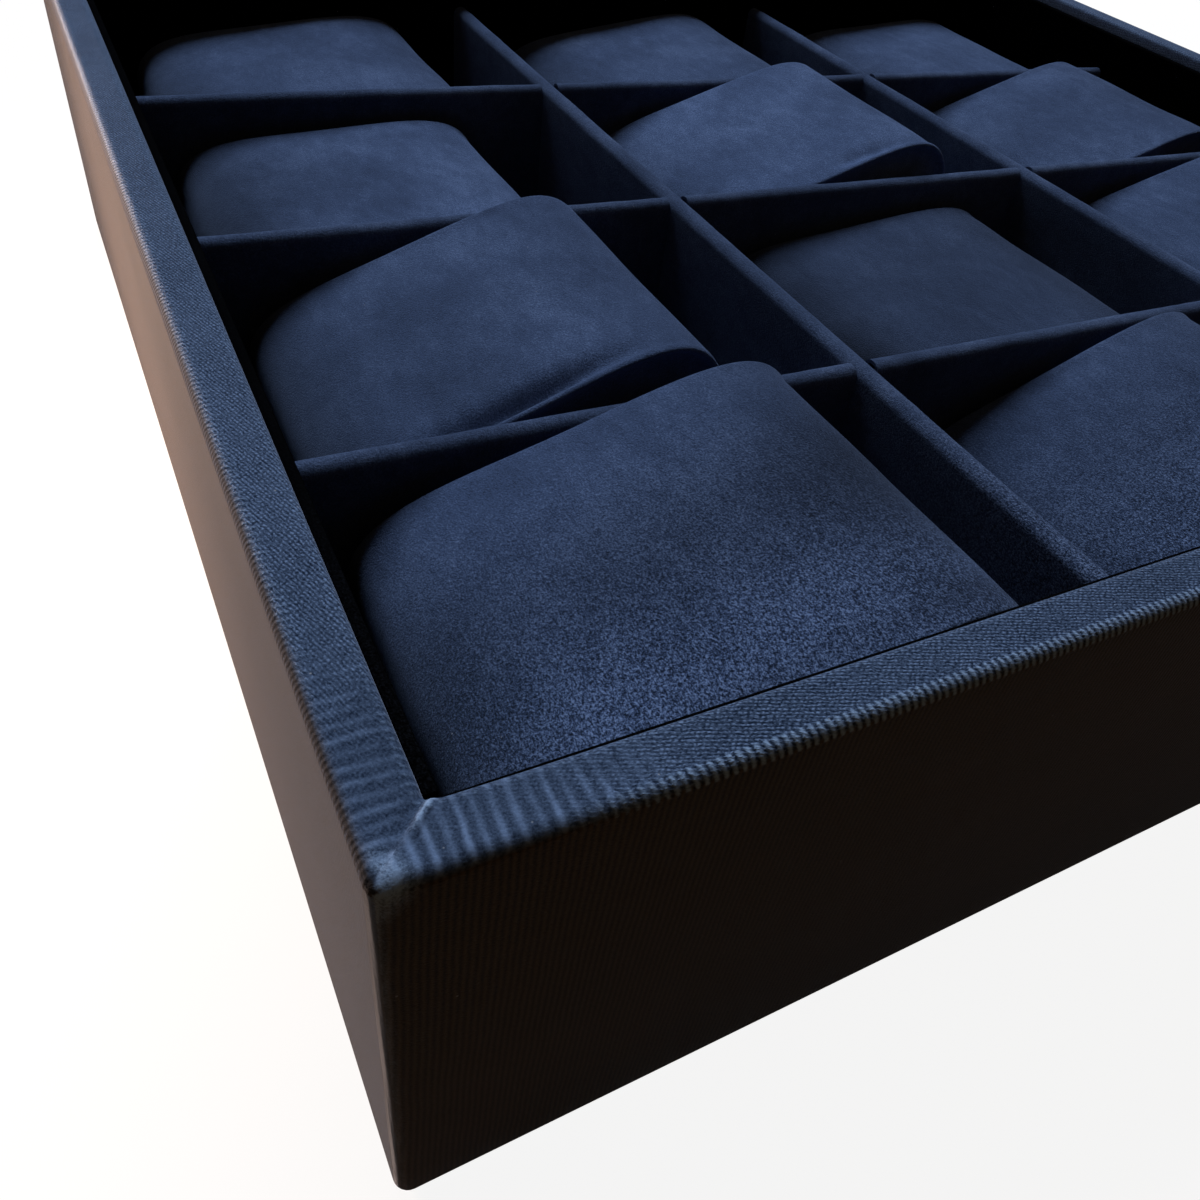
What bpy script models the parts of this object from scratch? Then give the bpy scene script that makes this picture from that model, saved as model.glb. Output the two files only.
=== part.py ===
"""Watch tray: a covered board tray with a half-lapped divider grid and twelve loose watch pillows.

X runs along the front, Y towards the back and Z up, in metres. The origin is the middle of
the underside, on the surface that the tray stands on.
"""

import math

import bmesh
import bpy
from mathutils import Matrix, Vector

MM = 0.001

# Layout of the tray
columns = 3
rows = 4
compartment_length = 76.0 * MM
compartment_width = 49.5 * MM
tray_height = 56.5 * MM
fit_gap = 0.3 * MM
weld_distance = 0.003 * MM
quarter_turn = math.radians(90)
bevel_segments = 2
bevel_angle_limit = math.radians(60)

# Boards under the covering
wall_board_thickness = 3.5 * MM
base_board_thickness = 2.5 * MM

# Twill covering, wrapped round the walls in one strip
wrap_thickness = 0.7 * MM
wrap_corner_radius = 1.6 * MM
wrap_edge_radius = 1.1 * MM
wrap_turn_in_depth = 14.0 * MM
wrap_lip_lift = 0.3 * MM
wrap_corner_segments = 3
wrap_edge_segments = 3

# Underside felt and suede linings
felt_thickness = 1.0 * MM
felt_corner_radius = 3.0 * MM
floor_lining_thickness = 0.8 * MM
wall_lining_thickness = 1.2 * MM
wall_lining_edge_radius = 0.4 * MM
wall_lining_drop = 2.2 * MM

# Divider grid: a card core under a folded suede cover
divider_drop = 10.1 * MM
divider_core_thickness = 1.6 * MM
divider_cover_thickness = 0.45 * MM
slot_overrun = 5.0 * MM
slot_share = 0.5
fold_segments = 8

# Watch pillows
pillow_width = 59.0 * MM
pillow_end_gap = 2.0 * MM
pillow_press = 1.5 * MM
pillow_end_inset_share = 0.3
pillow_end_draw = 1.3 * MM
pillow_waist_share = 0.975
pillow_squareness_share = 0.722
pillow_section_points = 12
pillow_seam_crease_share = 0.9
pillow_cage_cuts = 2
cage_edge_share = 0.95

# How each pillow lies: tilt in degrees, its crown and its sideways place as shares of the
# depth under the rim and of the compartment's length
pillow_lie_shares = {
    (1, 1): (16.5, 0.924, 0.005),
    (2, 1): (20.0, 0.878, -0.004),
    (3, 1): (1.5, 0.721, -0.008),
    (4, 1): (6.0, 0.790, 0.004),
    (1, 2): (21.0, 0.868, 0.000),
    (2, 2): (7.0, 0.723, -0.003),
    (3, 2): (17.5, 0.908, 0.012),
    (4, 2): (9.0, 0.800, 0.000),
    (1, 3): (12.0, 0.842, 0.004),
    (2, 3): (15.0, 0.860, -0.004),
    (3, 3): (18.0, 0.880, 0.005),
    (4, 3): (5.0, 0.770, 0.000),
}

# Thicknesses that follow
wall_thickness = 2 * wrap_thickness + 2 * fit_gap + wall_board_thickness
divider_thickness = divider_core_thickness + 2 * (fit_gap + divider_cover_thickness)
inner_length = columns * compartment_length + (columns - 1) * divider_thickness
inner_width = rows * compartment_width + (rows - 1) * divider_thickness
outer_length = inner_length + 2 * wall_thickness
outer_width = inner_width + 2 * wall_thickness

# Levels that follow, from the underside up
wrap_lip_top = wrap_lip_lift + wrap_thickness
board_bottom = wrap_lip_top + fit_gap
board_top = tray_height - wrap_thickness - fit_gap
base_board_top = board_bottom + base_board_thickness
lining_bottom = base_board_top + fit_gap
floor_top = lining_bottom + floor_lining_thickness
seat_level = floor_top + fit_gap
divider_top = tray_height - divider_drop
divider_height = divider_top - seat_level
wall_lining_top = tray_height - wall_lining_drop
wrap_turn_in_bottom = tray_height - wrap_turn_in_depth

# Insets from the outer faces that follow
board_inset = wrap_thickness + fit_gap
base_board_inset = board_inset + wall_board_thickness + fit_gap
felt_inset = wall_thickness + fit_gap
wall_lining_inset = wall_thickness + fit_gap
lining_face_inset = wall_lining_inset + wall_lining_thickness
floor_lining_inset = lining_face_inset + fit_gap
pillow_length = compartment_width - 2 * pillow_end_gap
pillow_lie_room = tray_height - seat_level
slot_width = divider_thickness + 2 * fit_gap
slot_depth = divider_height * slot_share + fit_gap / 2

# Materials: a linear colour and a roughness each
material_looks = {
    "twill_covering": ((0.030, 0.042, 0.075), 0.45),
    "navy_suede": ((0.028, 0.038, 0.068), 0.9),
    "dark_suede_lining": ((0.012, 0.016, 0.028), 0.95),
    "fibre_board": ((0.36, 0.27, 0.18), 0.8),
    "grey_card": ((0.22, 0.21, 0.20), 0.85),
    "black_felt": ((0.010, 0.010, 0.012), 0.95),
}


def clear_scene():
    for obj in list(bpy.data.objects):
        bpy.data.objects.remove(obj, do_unlink=True)


def make_collection(name):
    collection = bpy.data.collections.new(name)
    bpy.context.scene.collection.children.link(collection)
    return collection


def make_material(name):
    colour, roughness = material_looks[name]
    material = bpy.data.materials.new(name)
    material.use_nodes = True
    shader = material.node_tree.nodes["Principled BSDF"]
    shader.inputs["Base Color"].default_value = (*colour, 1.0)
    shader.inputs["Roughness"].default_value = roughness
    shader.inputs["Metallic"].default_value = 0.0
    return material


def add_object(name, mesh, collection, material=None, location=(0, 0, 0)):
    obj = bpy.data.objects.new(name, mesh)
    obj.location = location
    collection.objects.link(obj)
    if material is not None:
        mesh.materials.append(material)
    return obj


def add_box(name, size, centre, collection, material=None):
    mesh = bpy.data.meshes.new(name)
    shape = bmesh.new()
    bmesh.ops.create_cube(shape, size=1.0)
    bmesh.ops.scale(shape, vec=size, verts=shape.verts)
    shape.to_mesh(mesh)
    shape.free()
    return add_object(name, mesh, collection, material, centre)


def add_outline(name, points, thickness, collection, material, matrix):
    """A flat outline as a filled 2D curve, given its thickness and turned into a welded mesh."""
    curve = bpy.data.curves.new(name, "CURVE")
    curve.dimensions = "2D"
    curve.fill_mode = "BOTH"
    curve.extrude = thickness / 2
    spline = curve.splines.new("POLY")
    spline.points.add(len(points) - 1)
    for spot, (x, y) in zip(spline.points, points):
        spot.co = (x, y, 0.0, 1.0)
    spline.use_cyclic_u = True
    guide = bpy.data.objects.new(name + "_outline", curve)
    collection.objects.link(guide)
    guide.matrix_world = matrix
    bpy.context.view_layer.update()
    evaluated = guide.evaluated_get(bpy.context.evaluated_depsgraph_get())
    mesh = bpy.data.meshes.new_from_object(evaluated)
    mesh.name = name
    shape = bmesh.new()
    shape.from_mesh(mesh)
    bmesh.ops.remove_doubles(shape, verts=shape.verts, dist=weld_distance)
    bmesh.ops.recalc_face_normals(shape, faces=shape.faces)
    shape.to_mesh(mesh)
    shape.free()
    bpy.data.objects.remove(guide, do_unlink=True)
    obj = add_object(name, mesh, collection, material)
    obj.matrix_world = matrix
    return obj


def add_bevel(obj, width, segments=bevel_segments):
    bevel = obj.modifiers.new("Rounded edges", "BEVEL")
    bevel.width = width
    bevel.segments = segments
    bevel.limit_method = "ANGLE"
    bevel.angle_limit = bevel_angle_limit
    return bevel


def add_cut(obj, cutter):
    cut = obj.modifiers.new("Cut", "BOOLEAN")
    cut.operation = "DIFFERENCE"
    cut.solver = "EXACT"
    cut.object = cutter
    return cut


def make_cutter(obj):
    obj.hide_render = True
    obj.display_type = "WIRE"
    return obj


# Boards

def mitred_plan(length, thickness):
    """Plan of a wall board seen from above: the outer edge is longer by a mitre at each end."""
    half = length / 2
    return [(-half, 0.0), (half, 0.0), (half - thickness, thickness), (-half + thickness, thickness)]


def build_wall_boards(collection, material):
    height = board_top - board_bottom
    middle = (board_top + board_bottom) / 2
    mitre_gap = fit_gap * math.sqrt(2) / 2
    length = outer_length - 2 * board_inset - 2 * mitre_gap
    width = outer_width - 2 * board_inset - 2 * mitre_gap
    front = outer_width / 2 - board_inset
    side = outer_length / 2 - board_inset
    sides = {
        "front": (length, (0.0, -front, middle), 0),
        "right": (width, (side, 0.0, middle), 1),
        "back": (length, (0.0, front, middle), 2),
        "left": (width, (-side, 0.0, middle), 3),
    }
    for side_name, (run, place, quarters) in sides.items():
        matrix = Matrix.Translation(place) @ Matrix.Rotation(quarters * quarter_turn, 4, "Z")
        plan = mitred_plan(run, wall_board_thickness)
        add_outline("wall_board_" + side_name, plan, height, collection, material, matrix)


def build_base_board(collection, material):
    length = outer_length - 2 * base_board_inset
    width = outer_width - 2 * base_board_inset
    size = (length, width, base_board_thickness)
    add_box("base_board", size, (0, 0, (board_bottom + base_board_top) / 2), collection, material)


# Twill covering

def ring_points(inset, radius):
    """Rounded rectangle at an inset from the outer faces, corner by corner."""
    points = []
    for corner in range(4):
        sign_x = 1 if corner in (0, 3) else -1
        sign_y = 1 if corner in (0, 1) else -1
        centre_x = sign_x * (outer_length / 2 - inset - radius)
        centre_y = sign_y * (outer_width / 2 - inset - radius)
        for step in range(wrap_corner_segments + 1):
            angle = quarter_turn * (corner + step / wrap_corner_segments)
            points.append((centre_x + radius * math.cos(angle), centre_y + radius * math.sin(angle)))
    return points


def build_outer_wrap(collection, material):
    """One strip: a lip under the walls, the outer faces, the rim and a turn-in inside."""
    inner_radius = wrap_corner_radius / 2
    rings = [
        (wall_thickness, inner_radius, wrap_lip_lift),
        (0.0, wrap_corner_radius, wrap_lip_lift),
        (0.0, wrap_corner_radius, tray_height),
        (wall_thickness, inner_radius, tray_height),
        (wall_thickness, inner_radius, wrap_turn_in_bottom),
    ]
    shape = bmesh.new()
    loops = []
    for inset, radius, level in rings:
        loops.append([shape.verts.new((x, y, level)) for x, y in ring_points(inset, radius)])
    for lower, upper in zip(loops, loops[1:]):
        for spot in range(len(lower)):
            after = (spot + 1) % len(lower)
            shape.faces.new((lower[spot], lower[after], upper[after], upper[spot]))
    mesh = bpy.data.meshes.new("outer_wrap")
    shape.to_mesh(mesh)
    shape.free()
    wrap = add_object("outer_wrap", mesh, collection, material)
    add_bevel(wrap, wrap_edge_radius, wrap_edge_segments)
    shell = wrap.modifiers.new("Cloth thickness", "SOLIDIFY")
    shell.thickness = wrap_thickness
    shell.offset = -1.0
    shell.use_even_offset = True
    return wrap


# Felt and linings

def build_underside_felt(collection, material):
    length = outer_length - 2 * felt_inset
    width = outer_width - 2 * felt_inset
    size = (length, width, felt_thickness)
    felt = add_box("underside_felt", size, (0, 0, felt_thickness / 2), collection, material)
    corners = felt.data.attributes.new("bevel_weight_edge", "FLOAT", "EDGE")
    for edge in felt.data.edges:
        ends = [felt.data.vertices[index].co for index in edge.vertices]
        corners.data[edge.index].value = 1.0 if abs(ends[0].z - ends[1].z) > felt_thickness / 2 else 0.0
    bevel = add_bevel(felt, felt_corner_radius, wrap_corner_segments)
    bevel.limit_method = "WEIGHT"
    return felt


def build_floor_lining(collection, material):
    length = outer_length - 2 * floor_lining_inset
    width = outer_width - 2 * floor_lining_inset
    size = (length, width, floor_lining_thickness)
    add_box("floor_lining", size, (0, 0, (lining_bottom + floor_top) / 2), collection, material)


def build_wall_linings(collection, material):
    height = wall_lining_top - lining_bottom
    middle = (wall_lining_top + lining_bottom) / 2
    long_run = outer_length - 2 * wall_lining_inset
    short_run = outer_width - 2 * lining_face_inset - 2 * fit_gap
    front = outer_width / 2 - wall_lining_inset - wall_lining_thickness / 2
    side = outer_length / 2 - wall_lining_inset - wall_lining_thickness / 2
    linings = {
        "front": ((long_run, wall_lining_thickness, height), (0, -front, middle)),
        "back": ((long_run, wall_lining_thickness, height), (0, front, middle)),
        "left": ((wall_lining_thickness, short_run, height), (-side, 0, middle)),
        "right": ((wall_lining_thickness, short_run, height), (side, 0, middle)),
    }
    for side_name, (size, centre) in linings.items():
        lining = add_box("wall_lining_" + side_name, size, centre, collection, material)
        add_bevel(lining, wall_lining_edge_radius)


# Divider grid

def column_places():
    first = -inner_length / 2 + compartment_length + divider_thickness / 2
    return [first + step * (compartment_length + divider_thickness) for step in range(columns - 1)]


def row_places():
    first = -inner_width / 2 + compartment_width + divider_thickness / 2
    return [first + step * (compartment_width + divider_thickness) for step in range(rows - 1)]


def core_outline(run, slots, slots_open_down, top_allowance):
    """Side view of a card core as a comb: slots at the crossings, open down or open up."""
    half = run / 2
    low = -divider_height / 2
    high = divider_height / 2 - top_allowance
    points = []
    if slots_open_down:
        points.append((-half, low))
        for place in slots:
            left = place - slot_width / 2
            right = place + slot_width / 2
            points += [(left, low), (left, low + slot_depth), (right, low + slot_depth), (right, low)]
        points += [(half, low), (half, high), (-half, high)]
    else:
        points += [(-half, low), (half, low), (half, high)]
        for place in reversed(slots):
            left = place - slot_width / 2
            right = place + slot_width / 2
            bottom = divider_height / 2 - slot_depth
            points += [(right, high), (right, bottom), (left, bottom), (left, high)]
        points.append((-half, high))
    return points


def cover_section():
    """Cut through a folded suede cover: two legs joined by a round fold, open below."""
    outer = divider_thickness / 2
    inner = outer - divider_cover_thickness
    low = -divider_height / 2
    fold = divider_height / 2 - outer
    points = [(outer, low)]
    for step in range(fold_segments + 1):
        angle = math.pi * step / fold_segments
        points.append((outer * math.cos(angle), fold + outer * math.sin(angle)))
    points += [(-outer, low), (-inner, low)]
    for step in range(fold_segments + 1):
        angle = math.pi * (1 - step / fold_segments)
        points.append((inner * math.cos(angle), fold + inner * math.sin(angle)))
    points.append((inner, low))
    return points


def build_divider(name, run, place, along_x, slots, slots_open_down, parts, cutters, card, suede):
    """A card core and its cover, standing on the floor lining, with slots where they cross."""
    middle = seat_level + divider_height / 2
    centre = Vector((0.0, place, middle)) if along_x else Vector((place, 0.0, middle))
    sideways = Matrix.Rotation(quarter_turn, 4, "Z")
    tipped_up = Matrix.Rotation(quarter_turn, 4, "X")
    stand = Matrix.Translation(centre) @ (Matrix.Identity(4) if along_x else sideways)
    upright = stand @ tipped_up
    fold_allowance = divider_thickness / 2 + fit_gap
    outline = core_outline(run, slots, slots_open_down, fold_allowance)
    add_outline(name + "_core", outline, divider_core_thickness, parts, card, upright)
    lengthwise = stand @ sideways @ tipped_up
    cover = add_outline(name + "_cover", cover_section(), run, parts, suede, lengthwise)
    tall = slot_depth + slot_overrun
    for number, slot in enumerate(slots, start=1):
        size = (slot_width, divider_thickness + 2 * slot_overrun, tall)
        if slots_open_down:
            level = -divider_height / 2 + slot_depth - tall / 2
        else:
            level = divider_height / 2 - slot_depth + tall / 2
        cutter = add_box("%s_slot_%d" % (name, number), size, (0, 0, 0), cutters)
        cutter.matrix_world = stand @ Matrix.Translation((slot, 0.0, level))
        make_cutter(cutter)
        add_cut(cover, cutter)


def build_dividers(parts, cutters, card, suede):
    column_run = outer_width - 2 * floor_lining_inset
    row_run = outer_length - 2 * floor_lining_inset
    for number, place in enumerate(column_places(), start=1):
        name = "column_divider_%d" % number
        build_divider(name, column_run, place, False, row_places(), True, parts, cutters, card, suede)
    for number, place in enumerate(row_places(), start=1):
        name = "row_divider_%d" % number
        build_divider(name, row_run, place, True, column_places(), False, parts, cutters, card, suede)


# Watch pillows

def pillow_half_height(tilt, pillow_height):
    """Half thickness that a tilted pillow needs, so that its crown and its base come out right."""
    conjugate = 1.0 / pillow_squareness_share
    half = (pillow_height + pillow_press) / 2
    reach = (pillow_width / 2) * abs(math.sin(tilt))
    return (half ** conjugate - reach ** conjugate) ** (1.0 / conjugate) / math.cos(tilt)


def pillow_cage(tilt, pillow_height):
    """Coarse cage of a watch pillow: a stuffed roll with crowned faces and sewn, drawn-in ends.

    Smoothing draws a cage's corners in, to (3 + cos) / 4 of their radius on an even ring, and
    the swell makes up for that.
    """
    half_width = pillow_width / 2
    half_height = pillow_half_height(tilt, pillow_height)
    turn = 2 * math.pi / pillow_section_points
    cage_swell = 4.0 / (3.0 + math.cos(turn))
    near_end = cage_edge_share
    shape = bmesh.new()
    bmesh.ops.create_cone(
        shape,
        cap_ends=True,
        segments=pillow_section_points,
        radius1=1.0,
        radius2=1.0,
        depth=2.0,
    )
    lengthwise = [edge for edge in shape.edges if edge.verts[0].co.z * edge.verts[1].co.z < 0.0]
    bmesh.ops.subdivide_edges(shape, edges=lengthwise, cuts=pillow_cage_cuts)
    ends = [face for face in shape.faces if abs(face.calc_center_median().z) > near_end]
    bmesh.ops.inset_individual(shape, faces=ends, thickness=pillow_end_inset_share)
    crease = shape.edges.layers.float.new("crease_edge")
    for edge in shape.edges:
        first, second = (vert.co for vert in edge.verts)
        on_end = min(abs(first.z), abs(second.z)) > near_end
        on_seam = min(math.hypot(first.x, first.y), math.hypot(second.x, second.y)) > cage_edge_share
        edge[crease] = pillow_seam_crease_share if on_end and on_seam else 0.0
    power = 2.0 * (1.0 - pillow_squareness_share)
    for vert in shape.verts:
        across, up, along = vert.co.x, vert.co.y, vert.co.z
        spread = min(1.0, math.hypot(across, up))
        angle = math.atan2(up, across)
        at_end = abs(along) > near_end
        fullness = spread * (pillow_waist_share if at_end else 1.0) * cage_swell
        x = math.copysign(abs(math.cos(angle)) ** power, math.cos(angle)) * half_width * fullness
        z = math.copysign(abs(math.sin(angle)) ** power, math.sin(angle)) * half_height * fullness
        y = along * pillow_length / 2
        if spread < cage_edge_share:
            y -= math.copysign(pillow_end_draw, along)
        vert.co = (x * math.cos(tilt) - z * math.sin(tilt), y, x * math.sin(tilt) + z * math.cos(tilt))
    bmesh.ops.recalc_face_normals(shape, faces=shape.faces)
    bmesh.ops.translate(shape, verts=shape.verts, vec=(0, 0, (pillow_height - pillow_press) / 2))
    mesh = bpy.data.meshes.new("pillow")
    shape.to_mesh(mesh)
    shape.free()
    return mesh


def compartment_span(number, count, size, inner):
    """Clear span of one compartment, which a wall lining narrows at the tray's walls."""
    start = -inner / 2 + (number - 1) * (size + divider_thickness)
    low = start + (lining_face_inset - wall_thickness if number == 1 else 0.0)
    high = start + size - (lining_face_inset - wall_thickness if number == count else 0.0)
    return start, low, high


def build_pillows(parts, cutters, material):
    below = pillow_lie_room
    size = (outer_length, outer_width, below)
    floor_cutter = add_box("pillow_seat_cutter", size, (0, 0, seat_level - below / 2), cutters)
    make_cutter(floor_cutter)
    for (row, column), (tilt_degrees, crown_share, side_share) in pillow_lie_shares.items():
        start, _, _ = compartment_span(column, columns, compartment_length, inner_length)
        x = start + compartment_length * (0.5 + side_share)
        _, low, high = compartment_span(row, rows, compartment_width, inner_width)
        y = (low + high) / 2
        mesh = pillow_cage(math.radians(tilt_degrees), crown_share * pillow_lie_room)
        name = "pillow_row_%d_column_%d" % (row, column)
        pillow = add_object(name, mesh, parts, material, (x, y, seat_level))
        soften = pillow.modifiers.new("Stuffing", "SUBSURF")
        soften.levels = 1
        soften.render_levels = 1
        add_cut(pillow, floor_cutter)
        mesh.shade_smooth()


def main():
    clear_scene()
    parts = make_collection("watch_tray")
    cutters = make_collection("cutters")
    suede = make_material("navy_suede")
    lining = make_material("dark_suede_lining")
    board = make_material("fibre_board")
    card = make_material("grey_card")
    build_wall_boards(parts, board)
    build_base_board(parts, board)
    build_outer_wrap(parts, make_material("twill_covering"))
    build_underside_felt(parts, make_material("black_felt"))
    build_floor_lining(parts, lining)
    build_wall_linings(parts, lining)
    build_dividers(parts, cutters, card, suede)
    build_pillows(parts, cutters, suede)


main()
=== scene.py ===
"""Looks of the watch tray: twill covering, suede dividers and linings, and twelve stuffed pillows.

Lengths are millimetres times MM, in the tray's frame: X along the front, Y to the back, Z up.
"""

import math

import bmesh
import bpy
from mathutils import Matrix, Vector, noise


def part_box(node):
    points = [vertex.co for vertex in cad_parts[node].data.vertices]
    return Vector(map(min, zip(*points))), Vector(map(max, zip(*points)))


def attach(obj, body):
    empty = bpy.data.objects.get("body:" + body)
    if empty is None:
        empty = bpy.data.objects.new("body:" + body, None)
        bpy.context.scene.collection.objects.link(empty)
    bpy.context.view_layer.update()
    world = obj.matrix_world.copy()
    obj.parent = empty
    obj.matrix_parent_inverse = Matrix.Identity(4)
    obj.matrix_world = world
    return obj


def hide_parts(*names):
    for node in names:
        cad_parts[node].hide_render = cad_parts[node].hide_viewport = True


MM = 0.001

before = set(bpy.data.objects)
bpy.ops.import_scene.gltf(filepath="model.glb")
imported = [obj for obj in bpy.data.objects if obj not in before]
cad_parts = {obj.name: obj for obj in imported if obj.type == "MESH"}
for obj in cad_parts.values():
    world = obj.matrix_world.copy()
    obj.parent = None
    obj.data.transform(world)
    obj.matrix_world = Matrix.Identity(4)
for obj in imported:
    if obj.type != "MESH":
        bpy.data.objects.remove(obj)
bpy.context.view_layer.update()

# Tray, as built
outer_length = 245.2 * MM
outer_width = 218.3 * MM
tray_height = 56.5 * MM
wall_thickness = 5.5 * MM
seat_level = 5.2 * MM
divider_thickness = 3.1 * MM
divider_top = 46.4 * MM
divider_cover_thickness = 0.45 * MM
row_places = (-52.6 * MM, 0.0, 52.6 * MM)
column_places = (-39.55 * MM, 39.55 * MM)
compartment_length = 76.0 * MM
compartment_width = 49.5 * MM
end_lining_inset = 1.5 * MM
lining_top = 54.3 * MM
fit_gap = 0.3 * MM

# Twill covering
wrap_thickness = 0.7 * MM
wrap_clearance = 0.05 * MM
wrap_corner_radius = 1.6 * MM
wrap_inner_corner_radius = 0.8 * MM
wrap_top_radius = 1.15 * MM
wrap_inside_radius = 0.9 * MM
wrap_bottom_radius = 0.8 * MM
wrap_lip_lift = 0.3 * MM
wrap_turn_in_bottom = 42.5 * MM

# Steps of the covering's section, and of its length: close together by the corners
lip_steps = 4
bottom_arc_steps = 4
face_steps = 16
top_arc_steps = 7
rim_steps = 14
inside_arc_steps = 6
turn_in_steps = 5
corner_arc_steps = 6
fan_length = 14.0 * MM
fan_steps = 34
fan_crowding = 1.5
wall_step = 5.0 * MM

# Mitred folds: heights, and the place and reach of each ridge, groove and lump across them
fold_step_height = 0.26 * MM
fold_step_width = 0.13 * MM
fold_reach = 4.5 * MM
fold_ridge_height = 0.22 * MM
fold_ridge = (0.30 * MM, 0.34 * MM)
fold_groove_depth = 0.18 * MM
fold_groove = (-0.50 * MM, 0.42 * MM)
corner_lump_height = 0.30 * MM
corner_lump = (2.6 * MM, 1.3 * MM)
corner_lump_side_reach = 2.5 * MM
fold_wobble_size = 2.5 * MM
inner_fold_start = 4.0 * MM
inner_fold_blend = 2.2 * MM

# Wear of the covering, and a painted highlight along the mitred folds' ridges: how strong, and the
# place and reach of it across an edge or a fold
side_edge_wear = 0.30
end_edge_wear = 0.20
worn_edge = (0.45 * MM, 0.50 * MM)
upright_wear = 0.5
upright_wear_reach = 1.1 * MM
tip_wear_reach = 3.1 * MM
# Painted highlight along the ridge of each mitred fold
ridge_highlight = 0.8
ridge_highlight_place = (0.30 * MM, 0.26 * MM)
top_wear_drop = 2.5 * MM
top_wear_blend = 2.0 * MM

# Divider covers
cover_step = 1.5 * MM
cover_fold_steps = 14
cover_side_steps = 8
cover_soft_swell = 0.10 * MM
cover_fine_swell = 0.05 * MM
cover_soft_patch = (9 * MM, 14 * MM, 6 * MM)
cover_fine_patch = (2.2 * MM, 2 * MM, 1 * MM)
cover_fold_top = 0.4 * MM
cover_sharp_angle = math.radians(50)
slot_snugness = 0.2 * MM
slot_overrun = 2 * MM

# Watch pillows: tilt in degrees, height, sideways place and width for each row and column
pillow_length = 45.0 * MM
pillow_roundness = 4.8
pillow_press = 1.5 * MM
pillow_press_blend = 0.6 * MM
pillow_lies = {
    (1, 1): (17.3, 48.10 * MM, -0.45 * MM, 59.4 * MM),
    (2, 1): (20.4, 45.70 * MM, -2.10 * MM, 55.2 * MM),
    (3, 1): (4.0, 37.30 * MM, -3.70 * MM, 55.6 * MM),
    (4, 1): (6.0, 40.00 * MM, -0.90 * MM, 58.0 * MM),
    (1, 2): (21.0, 44.00 * MM, -0.60 * MM, 57.5 * MM),
    (2, 2): (6.1, 37.00 * MM, -0.80 * MM, 60.0 * MM),
    (3, 2): (18.2, 46.00 * MM, -1.30 * MM, 58.5 * MM),
    (4, 2): (9.0, 40.50 * MM, -0.30 * MM, 58.0 * MM),
    (1, 3): (12.0, 42.70 * MM, 0.10 * MM, 58.0 * MM),
    (2, 3): (15.0, 43.60 * MM, -0.40 * MM, 57.5 * MM),
    (3, 3): (18.0, 44.60 * MM, 0.20 * MM, 58.0 * MM),
    (4, 3): (5.0, 39.00 * MM, 0.0, 58.5 * MM),
}
first_row_ahead = 0.8 * MM

# Rings at a pillow's end, outwards over the sunk panel and the sewn lip, then along the body: how
# far behind the lip, how much of the section, and how far drawn in
end_rings = (
    (0.95 * MM, 0.06, 0.0),
    (0.96 * MM, 0.20, 0.0),
    (0.98 * MM, 0.38, 0.0),
    (1.02 * MM, 0.56, 0.0),
    (1.10 * MM, 0.72, 0.0),
    (1.20 * MM, 0.84, 0.0),
    (1.25 * MM, 1.0, 2.40 * MM),
    (1.10 * MM, 1.0, 1.70 * MM),
    (0.60 * MM, 1.0, 1.25 * MM),
    (0.16 * MM, 1.0, 1.00 * MM),
    (0.0, 1.0, 0.72 * MM),
    (0.10 * MM, 1.0, 0.44 * MM),
    (0.42 * MM, 1.0, 0.28 * MM),
    (0.90 * MM, 1.0, 0.26 * MM),
    (1.50 * MM, 1.0, 0.26 * MM),
    (2.20 * MM, 1.0, 0.28 * MM),
    (3.00 * MM, 1.0, 0.28 * MM),
    (3.90 * MM, 1.0, 0.28 * MM),
)
panel_depth = 0.95 * MM
body_start = 5.2 * MM
body_steps = 22
body_inset = 0.28 * MM
body_lumps = 0.010
body_lump_size = (16 * MM, 14 * MM)
end_lump_share = 0.3
pillow_points_around = 96
outline_points = 2880

# Stuffing, blown up as cloth between the sewn ends
cloth_pressure = 17.0
cloth_frames = 20
swell_cap = 1.8 * MM
sewn_band = 1.4
sewn_hold = 0.55
sewn_hold_reach = 8

# Creases behind the sewn ends, in millimetres from them and in depth
seam_crease = (2.6, 1.3)
seam_crease_depth = 0.3
fold_depth = 0.22
fold_fade_start = 2.0
fold_fade_reach = 3.5
wave_depth = 0.35
wave_size = (20 * MM, 17 * MM)
uncreased_radius = 14 * MM
uncreased_band = 0.9
front_puckers = {
    (2, 1): (1.0 * MM, 14.0 * MM, 2.0 * MM),
    (3, 2): (12.0 * MM, 6.0 * MM, 1.0 * MM),
    (1, 2): (-12.0 * MM, 7.0 * MM, 0.8 * MM),
}

# How light each pillow shows, partly its nap's own tone and partly painted light and shade: all
# over, from left to right, and more at both ends than between them
nap_and_light_tones = {
    (1, 1): (-0.28, -0.26, 0.58),
    (2, 1): (0.02, 0.16, 0.10),
    (3, 1): (0.06, 0.38, 0.05),
    (2, 2): (-0.42, 0.0, 0.05),
    (3, 2): (0.36, 0.05, 0.10),
    (1, 2): (-0.15, 0.0, 0.15),
}
plain_nap_and_light_tone = (0.0, 0.0, 0.1)
end_tone_reach = 0.55
# Painted shade on the pillows' left and right flanks, more at the front left: how dark, where it
# starts and how far it blends
left_shade = 0.42
right_shade = 0.32
front_left_shade = 0.32
side_shade_start = 0.35
side_shade_blend = 0.55
front_shade_start = 1.0 * MM
front_shade_blend = 16.0 * MM
# Painted shadow of the front rim on the first row's pillows
rim_shade = 0.30
rim_shade_bell = (-19.5 * MM, 2.2 * MM)

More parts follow.
